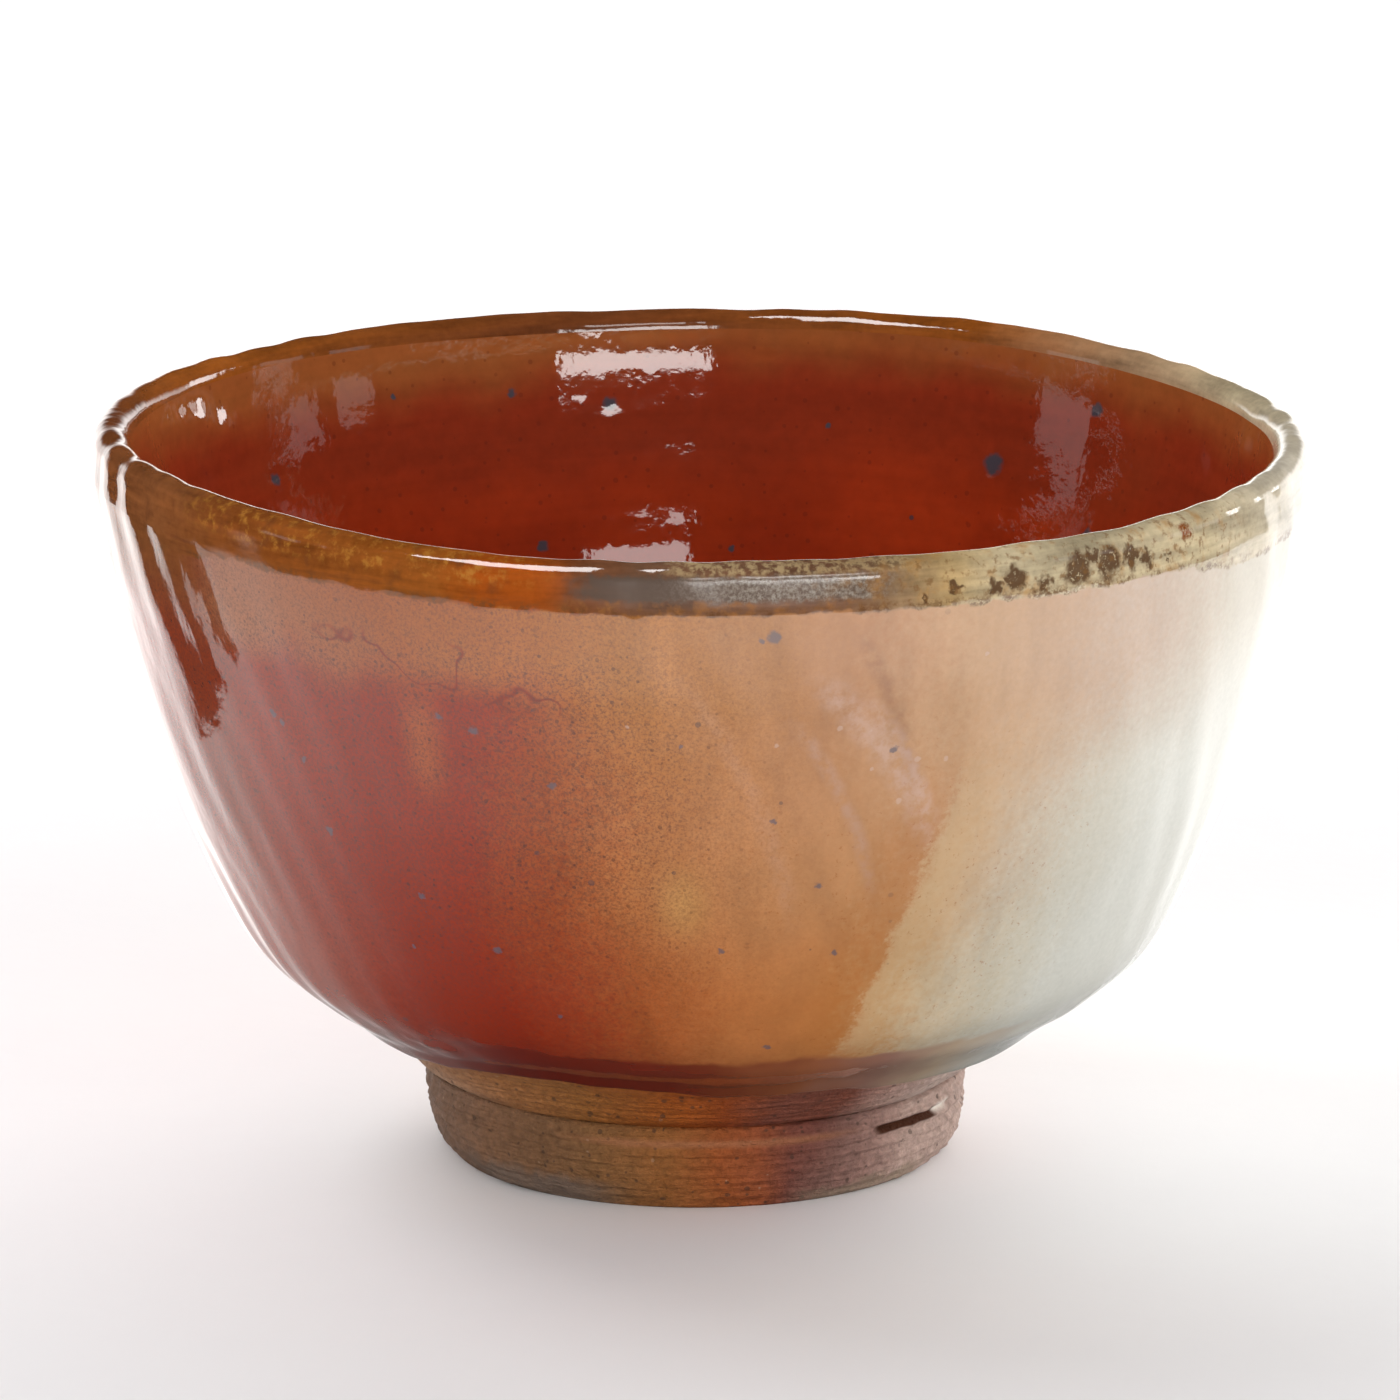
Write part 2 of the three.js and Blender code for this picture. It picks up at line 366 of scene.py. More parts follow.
def foot():
    """The trimmed foot ring: turning lines, a groove, a ridge above it, a torn slot, worn edges."""
    side = evenly(smooth_curve(FOOT_SIDE), 0.16)
    top = evenly(np.array([NECK, RECESS]), 1.5)[1:]
    inner = evenly(np.array(FOOT_INSIDE), 0.9)[1:]
    base = evenly(np.array([FOOT_INSIDE[-1], FOOT_SIDE[0]]), 0.6)[1:-1]
    outline = np.vstack([side, top, inner, base])
    radius, height = (outline[:, None, k] for k in (0, 1))
    on_side = smoothstep(radius, 22, 24.5) * smoothstep(height, 0, 0.5)
    relief = 0.075 * ripple(ANGLE, height, 31, 6, (0, 1), (0.8, 2.2))
    relief = relief + 0.06 * ripple(ANGLE, height, 32, 16, (12, 80), (2, 8))
    relief = relief + 0.14 * ripple(ANGLE, height, 33, 6, (2, 8), (8, 20))
    slot = 0.6 * bump(height, 6.6, 0.6)
    slot = slot * smoothstep(DEGREES, -52, -46) * (1 - smoothstep(DEGREES, -26, -20))
    groove = 0.12 * bump(height, 5.7, 0.5)
    ridge = 0.12 * bump(height, 7.7, 0.6)
    wear = 0.12 * ripple(ANGLE, height, 34, 12, (10, 60), (6, 12)) * bump(height, 0.4, 1.4)
    radius = radius + on_side * (relief + ridge + wear - slot - groove)
    return turned("foot_ring_clay", metres_from_mm(radius, height, ANGLE), False)


# ---- shader recipes ----

POUR_STRETCH = (1, 1, 0.09)        # draws noise out into long upright streaks
OBJECT_PLACE = 3                   # the Texture Coordinate output that is fixed to the object


class Field:
    """A number or a colour that shader nodes work out. Arithmetic on it adds nodes."""

    def __init__(self, tree, socket):
        self.tree = tree
        self.socket = socket

    def _math(self, operation, *values):
        return add_node(self.tree, "ShaderNodeMath", *values, operation=operation)

    def __add__(self, other):
        return self._math("ADD", self, other)

    def __sub__(self, other):
        return self._math("SUBTRACT", self, other)

    def __rsub__(self, other):
        return self._math("SUBTRACT", other, self)

    def __mul__(self, other):
        return self._math("MULTIPLY", self, other)

    __radd__ = __add__
    __rmul__ = __mul__

    def cos(self):
        return self._math("COSINE", self)

    def distance(self):
        return self._math("ABSOLUTE", self)

    def most(self, other):
        return self._math("MAXIMUM", self, other)

    def step(self, low, high):
        """Rises smoothly from 0 at low to 1 at high."""
        return add_node(self.tree, "ShaderNodeMapRange", self, low, high,
                        interpolation_type="SMOOTHSTEP")

    def within(self, low, high, soft):
        """1 between low and high, with edges this soft."""
        return self.step(low - soft, low + soft) * self.step(high + soft, high - soft)

    def near(self, centre, width):
        """A smooth hill of height 1."""
        return (self - centre).distance().step(width, 0)


def add_node(tree, kind, *values, output=0, **settings):
    """Adds a node, fills its inputs in order and gives back one output."""
    node = tree.nodes.new(kind)
    for key, setting in settings.items():
        setattr(node, key, setting)
    for socket, value in zip(node.inputs, values):
        if isinstance(value, Field):
            tree.links.new(value.socket, socket)
        elif value is not None:
            socket.default_value = value
    return Field(tree, node.outputs[output])


def split(tree, vector):
    """The three parts of a vector or colour."""
    node = add_node(tree, "ShaderNodeSeparateXYZ", vector).socket.node
    return [Field(tree, socket) for socket in node.outputs]


class Surface:
    """One material on the bowl, with the place of each point in millimetres and degrees."""

    def __init__(self, name):
        self.material = bpy.data.materials.new(name)
        self.material.use_nodes = True
        self.tree = self.material.node_tree
        self.tree.nodes.clear()
        place = add_node(self.tree, "ShaderNodeTexCoord", output=OBJECT_PLACE)
        self.point = self.vector("SCALE", place, scale=1 / MM)
        x, y, z = split(self.tree, self.point)
        turn = add_node(self.tree, "ShaderNodeMath", y, x, operation="ARCTAN2")
        self.angle = turn * (180 / math.pi)
        rise = sum((turn * lobes - math.radians(phase)).cos() * size
                   for lobes, size, phase in RIM_WAVES)
        self.height = z - rise * z.step(GLAZE_LINE[1], WIDEST[1])
        twist = (z - TWIST_LEVEL) * TWIST
        turned_point = add_node(self.tree, "ShaderNodeVectorRotate", self.point, None, None, None,
                                twist, rotation_type="Z_AXIS")
        self.pour = self.vector("MULTIPLY", turned_point, POUR_STRETCH)

    def vector(self, operation, first, second=None, scale=None):
        node = add_node(self.tree, "ShaderNodeVectorMath", first, second, operation=operation)
        if scale is not None:
            node.socket.node.inputs["Scale"].default_value = scale
        return node

    def noise(self, size, detail=2, rough=0.5, where=None):
        """Noise from about -1 to 1, with features about this many millimetres across."""
        value = add_node(self.tree, "ShaderNodeTexNoise", where or self.point, None, 1 / size,
                         detail, rough)
        return (value - 0.5) * 4

    def drawn_round(self, stretch):
        """A place to read noise at, so that it makes lines round the bowl."""
        return self.vector("MULTIPLY", self.point, (stretch, stretch, 1))

    def specks(self, spacing, amount, small, large):
        """Scattered dots in this share of cells this far apart, with radii from small to large."""
        distance = add_node(self.tree, "ShaderNodeTexVoronoi", self.point, None, 1 / spacing)
        chance, girth, _ = split(self.tree, Field(self.tree, distance.socket.node.outputs["Color"]))
        present = chance.step(1 - amount, 1.02 - amount)
        reach = girth * ((large - small) / spacing) + small / spacing
        return (distance - reach).step(small / spacing * 0.6, 0) * present

    def mix(self, base, paint, share):
        """Paint over base, where share is 1."""
        tree = self.tree
        node = tree.nodes.new("ShaderNodeMix")
        node.data_type = "RGBA"
        tree.links.new(share.socket, node.inputs[0])
        for socket, colour in zip(node.inputs[6:8], (base, paint)):
            if isinstance(colour, Field):
                tree.links.new(colour.socket, socket)
            else:
                socket.default_value = (*colour, 1)
        return Field(tree, node.outputs[2])

    def tint(self, base, brightness):
        """Base made lighter or darker by a number near 1."""
        scaled = self.vector("SCALE", base)
        self.tree.links.new(brightness.socket, scaled.socket.node.inputs["Scale"])
        return scaled

    def bands(self, place, stops):
        """Colours at these places, blended between them."""
        low, high = stops[0][0], stops[-1][0]
        share = (place - low) * (1 / (high - low))
        node = self.tree.nodes.new("ShaderNodeValToRGB")
        self.tree.links.new(share.socket, node.inputs[0])
        ramp = node.color_ramp
        while len(ramp.elements) < len(stops):
            ramp.elements.new(0.5)
        for element, (where, colour) in zip(ramp.elements, stops):
            element.position = (where - low) / (high - low)
            element.color = (*colour, 1)
        return Field(self.tree, node.outputs[0])

    def spots(self, places, radius_at, shake):
        """A mask of round marks, each given by angle, height and radius."""
        shaken = self.vector("ADD", self.point, shake)
        marks = None
        for angle, height, size in places:
            centre = metres_from_mm(radius_at(height), height, math.radians(angle)) / MM
            gap = add_node(self.tree, "ShaderNodeVectorMath", shaken, tuple(centre),
                           operation="DISTANCE", output=1)
            mark = gap.step(size * 1.25, size * 0.6)
            marks = mark if marks is None else marks.most(mark)
        return marks

    def shaken(self, size, amount):
        """A random push of each point, for ragged edges."""
        texture = add_node(self.tree, "ShaderNodeTexNoise", self.point, None, 1 / size, 2, output=1)
        centred = self.vector("SUBTRACT", texture, (0.5, 0.5, 0.5))
        return self.vector("SCALE", centred, scale=amount * 2)

    def stroke(self, start, end, width, bend):
        """A mask of a curved brush mark between two places, each an angle and a height."""
        run = (end[0] - start[0], end[1] - start[1])
        length = math.hypot(*run)
        over, up = self.angle - start[0], self.height - start[1]
        along = (over * run[0] + up * run[1]) * (1 / length**2)
        across = (over * run[1] - up * run[0]) * (1 / length) + along * (1 - along) * (4 * bend)
        return across.near(0, width) * along.within(0.08, 0.92, 0.12)

    def bumped(self, relief, depth):
        """A normal from relief in millimetres."""
        return add_node(self.tree, "ShaderNodeBump", 1.0, depth * MM, None, relief)

    def finish(self, colour, roughness, normal, **plain):
        """Joins the colour, roughness and normal into the material's shader."""
        shader = self.tree.nodes.new("ShaderNodeBsdfPrincipled")
        for name, value in (("Base Color", colour), ("Roughness", roughness), ("Normal", normal)):
            if isinstance(value, Field):
                self.tree.links.new(value.socket, shader.inputs[name])
            else:
                shader.inputs[name].default_value = value
        for name, value in plain.items():
            shader.inputs[name].default_value = value
        output = self.tree.nodes.new("ShaderNodeOutputMaterial")
        self.tree.links.new(shader.outputs[0], output.inputs[0])
        return self.material


# ---- colours of clay and glaze ----

DEEP_RED = (0.212, 0.018, 0.004)
BRICK = (0.225, 0.024, 0.007)
RED_BROWN = (0.265, 0.072, 0.016)
RUST = (0.30, 0.095, 0.018)
AMBER = (0.375, 0.145, 0.042)
TAN = (0.40, 0.185, 0.075)
PEACH = (0.465, 0.29, 0.155)
SAND = (0.47, 0.36, 0.25)
CREAM = (0.50, 0.45, 0.36)
CELADON = (0.56, 0.56, 0.50)
IRON = (0.045, 0.042, 0.050)
DARK_RUST = (0.15, 0.045, 0.014)
HONEY = (0.275, 0.078, 0.011)
EMBER = (0.300, 0.062, 0.006)
TARNISH = (0.145, 0.070, 0.038)
OLIVE_CREAM = (0.465, 0.385, 0.240)
MAROON = (0.125, 0.017, 0.009)
OCHRE = (0.235, 0.100, 0.035)
PLUM = (0.142, 0.045, 0.028)
ASH = (0.150, 0.100, 0.075)
PALE_CLAY = (0.38, 0.29, 0.25)

# Paint at each angle round the bowl. The wall has one row of colours for each of three levels.
WALL_HIGH = [(-180, (0.18, 0.04, 0.015)), (-147, (0.19, 0.05, 0.021)), (-141, (0.27, 0.10, 0.045)),
             (-120, RED_BROWN), (-106, RUST), (-96, (0.33, 0.128, 0.03)), (-86, (0.36, 0.16, 0.055)),
             (-76, (0.375, 0.18, 0.08)), (-66, (0.44, 0.26, 0.135)), (-54, (0.45, 0.29, 0.18)),
             (-44, (0.46, 0.345, 0.26)), (-30, CREAM), (20, CELADON), (75, CREAM), (105, PEACH),
             (130, AMBER), (155, RED_BROWN), (180, BRICK)]
WALL_MIDDLE = [(-180, BRICK), (-148, (0.19, 0.035, 0.014)), (-140, BRICK), (-128, DEEP_RED),
               (-114, BRICK), (-105, (0.25, 0.055, 0.013)), (-96, (0.35, 0.13, 0.04)), (-80, TAN),
               (-71, (0.42, 0.21, 0.09)), (-64, PEACH), (-56, SAND), (-46, (0.50, 0.47, 0.385)),
               (-34, CELADON), (30, CELADON), (70, SAND), (100, AMBER), (135, BRICK), (180, BRICK)]
WALL_LOW = [(-180, (0.25, 0.05, 0.025)), (-140, (0.25, 0.045, 0.022)), (-126, DEEP_RED),
            (-113, DEEP_RED), (-105, (0.245, 0.036, 0.011)), (-96, (0.29, 0.078, 0.021)),
            (-86, (0.375, 0.132, 0.04)), (-74, (0.405, 0.16, 0.05)), (-69, (0.45, 0.25, 0.11)),
            (-64, (0.49, 0.38, 0.245)), (-54, (0.51, 0.47, 0.37)), (-44, CELADON), (20, CELADON),
            (60, SAND), (90, RUST), (125, DEEP_RED), (180, (0.25, 0.05, 0.025))]
# Colours of the glaze roll on the cone: the thicker glaze's own maroon, made darker with painted shade
# under the overhang.
CONE_GLAZE_AND_SHADE = [(-180, (0.20, 0.05, 0.03)), (-132, (0.22, 0.045, 0.03)), (-118, (0.145, 0.012, 0.005)),
              (-95, (0.155, 0.022, 0.010)), (-85, (0.20, 0.048, 0.018)), (-75, (0.28, 0.095, 0.040)),
              (-63, (0.30, 0.16, 0.12)), (-52, SAND), (-40, CELADON), (20, CELADON), (90, RUST),
              (130, MAROON), (180, (0.20, 0.05, 0.03))]
LIP_COLOURS = [(-180, DARK_RUST), (-150, (0.20, 0.070, 0.022)), (-138, (0.22, 0.062, 0.012)),
               (-114, HONEY), (-110, EMBER), (-106, EMBER), (-101, (0.165, 0.055, 0.02)),
               (-96, TARNISH), (-88, (0.185, 0.09, 0.05)), (-78, TARNISH), (-72, (0.24, 0.15, 0.08)),
               (-67, (0.42, 0.29, 0.13)), (-60, OLIVE_CREAM), (-36, OLIVE_CREAM), (-15, CREAM),
               (20, OLIVE_CREAM), (60, HONEY), (100, DARK_RUST), (150, HONEY), (180, DARK_RUST)]
BARE_CONE = [(-180, ASH), (-150, (0.26, 0.15, 0.09)), (-130, OCHRE), (-114, (0.21, 0.082, 0.02)),
             (-95, (0.25, 0.064, 0.009)), (-85, (0.225, 0.048, 0.009)), (-75, PLUM), (-65, PLUM),
             (-55, (0.26, 0.15, 0.12)), (-40, PALE_CLAY), (20, PALE_CLAY), (90, OCHRE), (180, ASH)]
FOOT_SIDES = [(-180, ASH), (-142, (0.165, 0.085, 0.045)), (-126, (0.145, 0.073, 0.034)),
              (-112, (0.165, 0.078, 0.029)), (-98, (0.208, 0.08, 0.022)), (-84, (0.225, 0.061, 0.016)),
              (-75, (0.215, 0.058, 0.022)), (-68, (0.13, 0.043, 0.03)), (-60, (0.145, 0.071, 0.056)),
              (-50, (0.235, 0.14, 0.115)), (-38, (0.34, 0.24, 0.20)), (20, PALE_CLAY), (90, OCHRE),
              (180, ASH)]

# Spots that stand out: angle, height, radius. First iron, then pale pinholes, then iron inside.
WALL_SPOTS = [(-83.5, 66, 0.7), (-84.6, 65.6, 0.4), (-112, 55.5, 0.5), (-115.5, 56.5, 0.4),
              (-136, 53, 0.5), (-135, 52.3, 0.4), (-133, 49, 0.4), (-131.5, 42, 0.5),
              (-104.5, 50.5, 0.4), (-113, 32, 0.45), (-107, 25, 0.35), (-71.5, 54, 0.4),
              (-83, 47, 0.35), (-78, 40, 0.35), (-75.5, 32.5, 0.35), (-121, 37, 0.35),
              (-82, 22, 0.4), (-124, 31, 0.3), (-92, 55, 0.3), (-88, 33, 0.3)]
PINHOLES = [(-83, 55, 0.25), (-77, 56.5, 0.3), (-74, 56, 0.2), (-73.5, 52, 0.25), (-70.5, 48.5, 0.32),
            (-69, 52.8, 0.3), (-66, 52.5, 0.3), (-63, 63, 0.25), (-45, 60, 0.35), (-97, 57, 0.2)]
INSIDE_SPOTS = [(56, 59.3, 1.15), (43.5, 66.6, 0.8), (41.5, 54.5, 0.6), (100, 63.8, 0.75),
                (111, 65.3, 0.5), (143.5, 60, 0.7), (109, 49.8, 0.6), (125, 66, 0.35),
                (76, 61.5, 0.35), (86.5, 49, 0.4)]

# Dark stains in the lip's glaze, and one of rust.
LIP_BLOTCHES = [(-53.5, 70.2, 1.7), (-50, 70.4, 1.6), (-52, 71.4, 0.8), (-47, 70.6, 1.2),
                (-45, 69.9, 1.0), (-57.5, 69.3, 1.0), (-60.5, 70.1, 1.3), (-62.5, 69.5, 0.9),
                (-66.5, 69.8, 0.7), (-42.5, 69.4, 0.5), (-69.5, 69.1, 0.5)]
LIP_RUST = [(-39.5, 71.6, 0.9)]

# Diagonal marks of the pour: start, end, half width, bend, colour, strength.
MILK = (0.50, 0.34, 0.27)
BROWN_STREAK = (0.28, 0.13, 0.06)
POUR_MARKS = [((-76.5, 67), (-69, 49), 1.5, 1.0, (0.24, 0.11, 0.055), 0.65),
              ((-80, 62), (-66, 43), 2.4, 1.3, MILK, 0.6), ((-75, 60), (-67, 46), 1.2, 1.0, MILK, 0.5),
              ((-84, 60), (-71, 36), 1.6, 1.3, BROWN_STREAK, 0.35),
              ((-88, 60), (-75, 30), 1.9, 1.6, BROWN_STREAK, 0.3),
              ((-82, 58), (-72, 38), 1.2, 1.2, MILK, 0.35),
              ((-92, 62), (-80, 34), 1.6, 1.5, MILK, 0.15)]


def outer_radius(height):
    return float(np.interp(height, SKIN[OUTER_SIDE, 1], SKIN[OUTER_SIDE, 0]))


def inner_radius(height):
    inside = SKIN[CREST:][::-1]
    return float(np.interp(height, inside[:, 1], inside[:, 0]))


# ---- materials ----

GLAZE_GLOSS = 0.06                 # roughness of the melted glazes
LINER_GLOSS = 0.05
LIP_GLOSS = 0.08
TARNISH_MATTING = 0.18             # added to the lip's roughness where it is tarnished
GLAZE_IOR = 1.6
CLAY_IOR = 1.25                    # low, because dry clay has no sheen at a glancing angle


def outer_glaze_paint(surface):
    """Colour of the outside glaze: red on one side, through amber and peach, to celadon."""
    s = surface
    angle = s.angle + s.noise(16, 2) * 2.6 + s.noise(0.8, 3, 0.6) * 2.6
    height = s.height + s.noise(10, 2) * 2.0
    high = s.bands(angle, WALL_HIGH)
    middle = s.bands(angle - (s.height - 44) * 0.25, WALL_MIDDLE)
    low = s.bands(angle, WALL_LOW)
    paint = s.mix(low, middle, height.step(26, 42))
    left = s.angle.step(-96, -110)
    paint = s.mix(paint, high, height.step(44, 62) * (1 - left) + height.step(57, 63) * left)
    paint = with_pour_marks(s, paint)
    paint = with_cracks(s, paint)
    paint = with_grain(s, paint)
    marks = s.spots(WALL_SPOTS, outer_radius, s.shaken(0.6, 0.45))
    paint = s.mix(paint, (0.095, 0.085, 0.105), marks * 0.75)
    pits = s.spots(PINHOLES, outer_radius, s.shaken(0.6, 0.2))
    return s.mix(paint, (0.50, 0.36, 0.29), pits * 0.45)


def with_pour_marks(surface, paint):
    """Adds diagonal pour marks over the front, and the edge where two pours overlap."""
    s = surface
    streaks = s.noise(3.2, 3, 0.55, s.pour)
    front = s.angle.within(-104, -56, 8)
    paint = s.tint(paint, 1 + streaks * (front * 0.09 + 0.03) + s.noise(0.55, 2, 0.6) * 0.045)
    edge = s.angle - (s.height - 37) * 0.28 + 68 + s.noise(5, 3) * 0.9 + s.noise(0.7, 3, 0.7) * 0.9
    below = s.height.step(56, 42) * s.height.step(19.5, 22)
    burnt, pale = (0.36, 0.135, 0.035), (0.50, 0.35, 0.19)
    paint = s.mix(paint, burnt, edge.step(-9, -1) * edge.step(0.9, -0.9) * below * 0.55)
    paint = s.mix(paint, pale, edge.step(11, 1) * edge.step(-0.9, 0.9) * below * 0.55)

    patchy = s.noise(1.4, 3, 0.6).step(-1.0, 0.8)
    for start, end, width, bend, colour, share in POUR_MARKS:
        paint = s.mix(paint, colour, s.stroke(start, end, width, bend) * patchy * share)
    return paint


def with_cracks(surface, paint):
    """Adds a thin dark contour high on the left, a rust patch under it and a yellow one in front."""
    s = surface
    contour = s.noise(8, 2).near(0.1, 0.07) * s.angle.within(-128, -102, 3)
    contour = contour * s.height.within(58, 64, 1)
    paint = s.mix(paint, (0.17, 0.022, 0.008), contour * 0.95)
    rust = s.angle.near(-117.5, 3.4) * s.height.within(49, 58, 3)
    paint = s.mix(paint, (0.31, 0.085, 0.022), rust * 0.6)
    yellow = s.angle.near(-92, 4) * s.height.within(35.5, 41, 3)
    return s.mix(paint, (0.44, 0.23, 0.075), yellow * 0.7)


def with_grain(surface, paint):
    """Adds fine dark grain over the red side, and rust flecks at the celadon's border."""
    s = surface
    stipple = s.noise(0.28, 3, 0.75).step(-0.5, 0.8)
    red_side = s.angle.step(-72, -104).most(s.angle.step(112, 136))
    red_side = red_side * (s.height.step(14, 46) * 0.7 + 0.3) * (s.height.step(66, 60) * 0.3 + 0.7)
    paint = s.tint(paint, 1 + red_side * 0.27)
    paint = s.mix(paint, (0.070, 0.032, 0.025), stipple * red_side * 0.70)
    grain = s.specks(0.75, 0.4, 0.07, 0.20)
    paint = s.mix(paint, (0.050, 0.024, 0.020), grain * red_side * 0.55)
    fleck = s.noise(0.5, 3, 0.7).step(0.35, 0.9) * s.noise(4, 2).step(-0.8, 0.6)
    fleck = fleck * s.angle.within(-96, -46, 8) * s.height.step(66, 40)
    paint = s.mix(paint, (0.27, 0.085, 0.02), fleck * 0.6)
    iron = s.specks(2.6, 0.25, 0.10, 0.32)
    return s.mix(paint, IRON, iron * s.angle.within(-150, -70, 10) * 0.5)


def lip_paint(surface, paint):
    """Adds the rim's amber, tarnished and olive band above its ragged lower edge."""
    s = surface
    crumbs = s.noise(0.45, 3, 0.7)
    lines = s.noise(1.3, 3, 0.6, s.drawn_round(0.12))
    band = s.bands(s.angle + s.noise(5, 2) * 2.0, LIP_COLOURS)
    band = s.tint(band, 1 + lines * 0.38 + s.noise(0.9, 3, 0.65) * 0.14)
    band = with_amber_mottle(s, band, lines)
    band = with_tarnish(s, band)
    band = with_lip_stains(s, band, crumbs)
    edge = s.height + s.noise(2.2, 3, 0.6) * 0.45 + s.angle.step(-44, -28) * 1.8
    edge = edge + s.angle.step(-136, -150) * 2.0
    rusty = edge.near(68.5, 1.0) * s.noise(2.2, 2, 0.6).step(-0.5, 0.5) * crumbs.step(-0.5, 0.3)
    band = s.mix(band, (0.12, 0.050, 0.018), rusty * 0.85)

    # The band ends in a ragged line, but fades into the wall on the left.
    left = s.angle.step(-142, -148)
    return s.mix(paint, band, edge.step(68.0, 68.35) * (1 - left) + s.height.step(58, 68.5) * left)


def with_amber_mottle(surface, band, lines):
    """Adds golden patches, and dark lines under them, to the amber stretch on the left."""
    s = surface
    golden = s.noise(1.1, 3, 0.65).step(-0.1, 0.9) * s.height.step(69.8, 70.8)
    band = s.mix(band, (0.44, 0.19, 0.030), golden * s.angle.within(-144, -106, 5) * 0.75)
    below = lines.step(0.05, 0.6) * s.height.step(71.0, 69.5) * s.angle.within(-150, -106, 6)
    return s.mix(band, (0.10, 0.030, 0.010), below * 0.6)


def with_tarnish(surface, band):
    """Adds a dark tarnished stretch in front with a painted silvery sheen in its middle, with cream
    crumbs above it and ochre ones below.
    """
    s = surface
    ragged = s.height + s.noise(0.9, 3, 0.6) * 0.35
    metal = (s.angle + s.noise(1.2, 2) * 1.2).within(-101, -73.5, 1.5)
    metal = metal * ragged.within(69.5, 71.8, 0.35)
    # The silvery grey is a painted sheen over the dark tarnish.
    painted_sheen_share = s.noise(0.35, 3, 0.7).step(-0.6, 0.9) * s.angle.step(-96, -84)
    sheen = s.mix((0.100, 0.070, 0.052), (0.31, 0.275, 0.225), painted_sheen_share)
    band = s.mix(band, sheen, metal * 0.85)
    cream = s.noise(0.8, 3, 0.65).step(-0.4, 0.5) * s.height.step(71.6, 72.3)
    band = s.mix(band, (0.45, 0.33, 0.17), cream * s.angle.within(-93, -70, 2) * 0.8)
    ochre = s.noise(1.2, 3, 0.6).step(-0.3, 0.6) * s.angle.within(-102, -76, 3)
    return s.mix(band, (0.30, 0.12, 0.03), ochre * ragged.step(69.7, 69.1) * 0.6)


def with_lip_stains(surface, band, crumbs):
    """Adds dark clouds on the left, and rust clouds, dark blotches and dirt on the pale right."""
    s = surface
    dark_clouds = s.noise(2.6, 3, 0.6).step(0.1, 1.0) * s.angle.within(-158, -108, 6)
    band = s.mix(band, (0.11, 0.038, 0.014), dark_clouds * 0.6)
    rust_clouds = s.noise(2.4, 3, 0.6).step(0.0, 1.0) * s.angle.within(-76, -32, 5)
    band = s.mix(band, (0.42, 0.20, 0.045), rust_clouds * 0.6)
    blotch = s.spots(LIP_BLOTCHES, outer_radius, s.shaken(1.0, 1.3)) * crumbs.step(-0.9, -0.2)
    band = s.mix(band, (0.085, 0.040, 0.018), blotch * 0.92)
    rust = s.spots(LIP_RUST, outer_radius, s.shaken(0.8, 0.8)) * crumbs.step(-1.0, 0.4)
    band = s.mix(band, (0.20, 0.050, 0.008), rust)
    dirt = s.noise(0.8, 3, 0.6).step(0.1, 0.8) * s.angle.within(-80, -30, 5)
    return s.mix(band, (0.19, 0.09, 0.03), dirt * 0.65)


def glaze_normal(surface):
    """Orange-peel of the melted glaze."""
    s = surface
    peel = s.noise(2.4, 2) * 0.5 + s.noise(0.9, 2) * 0.16
    pours = s.noise(2.6, 2, 0.5, s.pour) * 0.75
    return s.bumped(peel + pours, 0.016)


def wall_glaze_material():
    """The wall's paint over a maroon roll on the cone, darkened by painted shade under the overhang,
    with the lip's band above.
    """
    s = Surface("wall_glaze")
    paint = outer_glaze_paint(s)
    below = s.height + s.noise(6, 2) * 0.7
    # Maroon roll: partly the thicker glaze's colour, partly painted shade that grows darker towards
    # its bottom.
    maroon = s.bands(s.angle + s.noise(6, 2) * 3, CONE_GLAZE_AND_SHADE)
    maroon = s.tint(maroon, s.height.step(16.0, 18.5) * 0.25 + 0.75)
    paint = s.mix(maroon, paint, below.step(19.4, 20.2))
    paint = lip_paint(s, paint)
    return s.finish(paint, GLAZE_GLOSS, glaze_normal(s), IOR=GLAZE_IOR)


def lip_roughness(surface):
    """The tarnished stretch of the lip is less glossy than the rest."""
    s = surface
    tarnished = s.angle.within(-101, -76, 4) * s.height.within(68.8, 71.6, 0.5)
    return tarnished * TARNISH_MATTING + LIP_GLOSS


def lip_glaze_material():
    s = Surface("lip_glaze")
    paint = lip_paint(s, outer_glaze_paint(s))
    return s.finish(paint, lip_roughness(s), glaze_normal(s), IOR=GLAZE_IOR)


def liner_glaze_material():
    """Deep brick red, amber under the rim, with iron spots."""
    s = Surface("liner_glaze")
    height = s.height + s.noise(8, 2) * 1.2
    low = s.mix((0.29, 0.028, 0.007), (0.34, 0.034, 0.007), s.noise(12, 2).step(-0.6, 0.6))
    paint = s.mix(low, (0.235, 0.028, 0.009), height.step(52, 61))
    glow = (s.angle - 68 + s.noise(6, 2) * 5).near(0, 16) * height.within(48, 60, 5)
    paint = s.mix(paint, (0.42, 0.042, 0.008), glow * 0.7)
    left = s.angle.within(100, 165, 12)
    paint = s.mix(paint, (0.285, 0.085, 0.022), (height + left * 2.0).step(65.0, 72.0))
    mottle = s.noise(1.6, 3, 0.6)
    rings = s.noise(1.7, 2, 0.5, s.drawn_round(0.05))
    paint = s.tint(paint, 1 + mottle * 0.10 + rings * 0.10)
    dust = s.specks(1.1, 0.35, 0.1, 0.25)
    paint = s.mix(paint, (0.10, 0.015, 0.008), dust * 0.35)
    iron = s.specks(5.5, 0.16, 0.15, 0.4)
    paint = s.mix(paint, IRON, iron * 0.8)
    marks = s.spots(INSIDE_SPOTS, inner_radius, s.shaken(0.8, 0.4))
    paint = s.mix(paint, (0.050, 0.058, 0.075), marks * 0.92)
    return s.finish(paint, LINER_GLOSS, glaze_normal(s), IOR=GLAZE_IOR)


